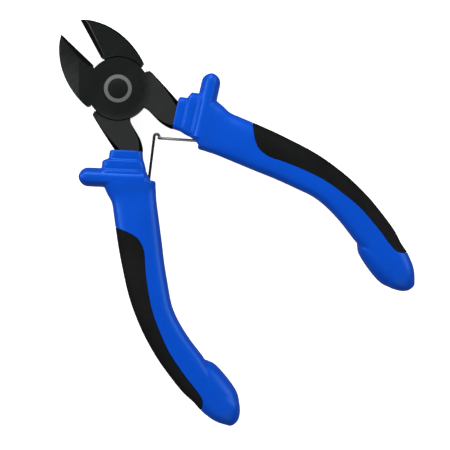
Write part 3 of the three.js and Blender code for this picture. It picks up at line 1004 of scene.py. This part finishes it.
def make_spring_half(name, side):
    """A leg that runs into its own arch of the coil; side is 1 for the right half."""
    centre = Vector(COIL_CENTRE[:2])
    seat = Vector((side * SPRING_SEAT[0], -SPRING_SEAT[1]))
    if side > 0:
        seat.y += RIGHT_SEAT_LIFT
    height = MID_Z + side * LAYER
    to_seat = seat - centre
    seat_angle = math.degrees(math.atan2(to_seat.y, to_seat.x))
    if side < 0:
        start_angle = seat_angle - math.degrees(math.acos(COIL_RADIUS / to_seat.length))
        end_angle = start_angle - ARCH_DEG
        join = on_coil(centre, start_angle)
        bend = []
    else:
        start_angle = seat_angle + KINK_DEG
        end_angle = start_angle + ARCH_DEG - KINK_DEG
        kink = on_coil(centre, start_angle)
        out = (seat - kink).normalized()
        join = kink + out * KINK_RUN
        bend = [(*join, height), (*(kink + out * KINK_MIDDLE), height)]
    tip = seat + (seat - join).normalized() * SEAT_DEPTH
    route = leg(tip, join, height) + bend + arch(centre, height, start_angle, end_angle)
    wire = sweep_wire(name, route)
    wire.data.materials.append(SPRING_STEEL)
    shade_smooth(wire, WIRE_SHARP_DEG)
    return wire


spring_right = make_spring_half("spring_wire_right", 1)
spring_left = make_spring_half("spring_wire_left", -1)


# ---- who rides on what --------------------------------------------------------------------

for piece, body, node, slot in (
    (front_lever, "front_half", "front_lever", "blackened_steel"),
    (rear_lever, "rear_half", "rear_lever", "blackened_steel"),
    (rivet, "rear_half", "pivot_rivet", "rivet_steel"),
    (right_sleeve, "front_half", "right_grip_sleeve", "blue_plastic"),
    (left_sleeve, "rear_half", "left_grip_sleeve", "blue_plastic"),
    (right_insert, "front_half", "right_soft_insert", "black_soft_plastic"),
    (left_insert, "rear_half", "left_soft_insert", "black_soft_plastic"),
    (spring_right, "spring_right", "spring_half_right", "spring_wire"),
    (spring_left, "spring_left", "spring_half_left", "spring_wire"),
):
    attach(piece, body)
    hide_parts(node)


# ---- floor, lights and camera -------------------------------------------------------------

VIEW_CENTRE = Vector((0.6, -51.8, 0.0)) * MM
VIEW_ROLL = math.radians(-37.45)
VIEW_WIDTH = 135.0 * MM
CAMERA_HEIGHT = 0.9
SENSOR_WIDTH = 36.0
FLOOR_REACH = 3.0
WORLD_STRENGTH = 0.14

# Each row: name, bearing and tilt in degrees, distance and size in metres, power in watts.
LIGHTS = [
    ("left_light", 165, 55, 0.9, 0.6, 4.0),
    ("top_light", 105, 52, 0.9, 0.45, 4.75),
    ("right_light", 18, 61, 0.9, 0.7, 3.4),
    ("end_light", 290, 48, 0.9, 0.9, 1.3),
]

image_right = Vector((math.cos(VIEW_ROLL), math.sin(VIEW_ROLL), 0))
image_up = Vector((-math.sin(VIEW_ROLL), math.cos(VIEW_ROLL), 0))


def add_floor():
    floor = bpy.data.meshes.new("floor")
    turns = ((-1, -1), (1, -1), (1, 1), (-1, 1))
    corners = [(x * FLOOR_REACH, y * FLOOR_REACH, 0) for x, y in turns]
    floor.from_pydata(corners, [], [(0, 1, 2, 3)])
    obj = bpy.data.objects.new("floor", floor)
    obj.data.materials.append(floor_material())
    obj.visible_diffuse = False
    obj.visible_glossy = False
    scene.collection.objects.link(obj)


def add_area(name, bearing_deg, tilt_deg, distance, size, power):
    """Soft light aimed at the middle of the view.

    The bearing is counted from the image's right, anticlockwise, and the tilt from overhead.
    """
    bearing, tilt = math.radians(bearing_deg), math.radians(tilt_deg)
    outwards = image_right * math.cos(bearing) + image_up * math.sin(bearing)
    light = bpy.data.lights.new(name, "AREA")
    light.shape = "DISK"
    light.size = size
    light.energy = power
    obj = bpy.data.objects.new(name, light)
    obj.location = VIEW_CENTRE + distance * (outwards * math.sin(tilt) + Vector((0, 0, math.cos(tilt))))
    aim = VIEW_CENTRE - obj.location
    obj.rotation_euler = aim.to_track_quat("-Z", "Y").to_euler()
    scene.collection.objects.link(obj)


def add_world():
    world = bpy.data.worlds.new("studio")
    world.use_nodes = True
    background = world.node_tree.nodes["Background"]
    background.inputs["Color"].default_value = (1.0, 1.0, 1.0, 1.0)
    background.inputs["Strength"].default_value = WORLD_STRENGTH
    scene.world = world


def add_camera():
    data = bpy.data.cameras.new("camera")
    data.sensor_width = SENSOR_WIDTH
    height_above_tool = CAMERA_HEIGHT - MID_Z * MM
    data.lens = SENSOR_WIDTH * height_above_tool / VIEW_WIDTH
    data.clip_start = 0.01
    camera = bpy.data.objects.new("camera", data)
    camera.location = VIEW_CENTRE + Vector((0, 0, CAMERA_HEIGHT))
    camera.rotation_euler = (0, 0, VIEW_ROLL)
    scene.collection.objects.link(camera)
    scene.camera = camera


add_floor()
for light_row in LIGHTS:
    add_area(*light_row)
add_world()
add_camera()
scene.view_settings.view_transform = "Standard"
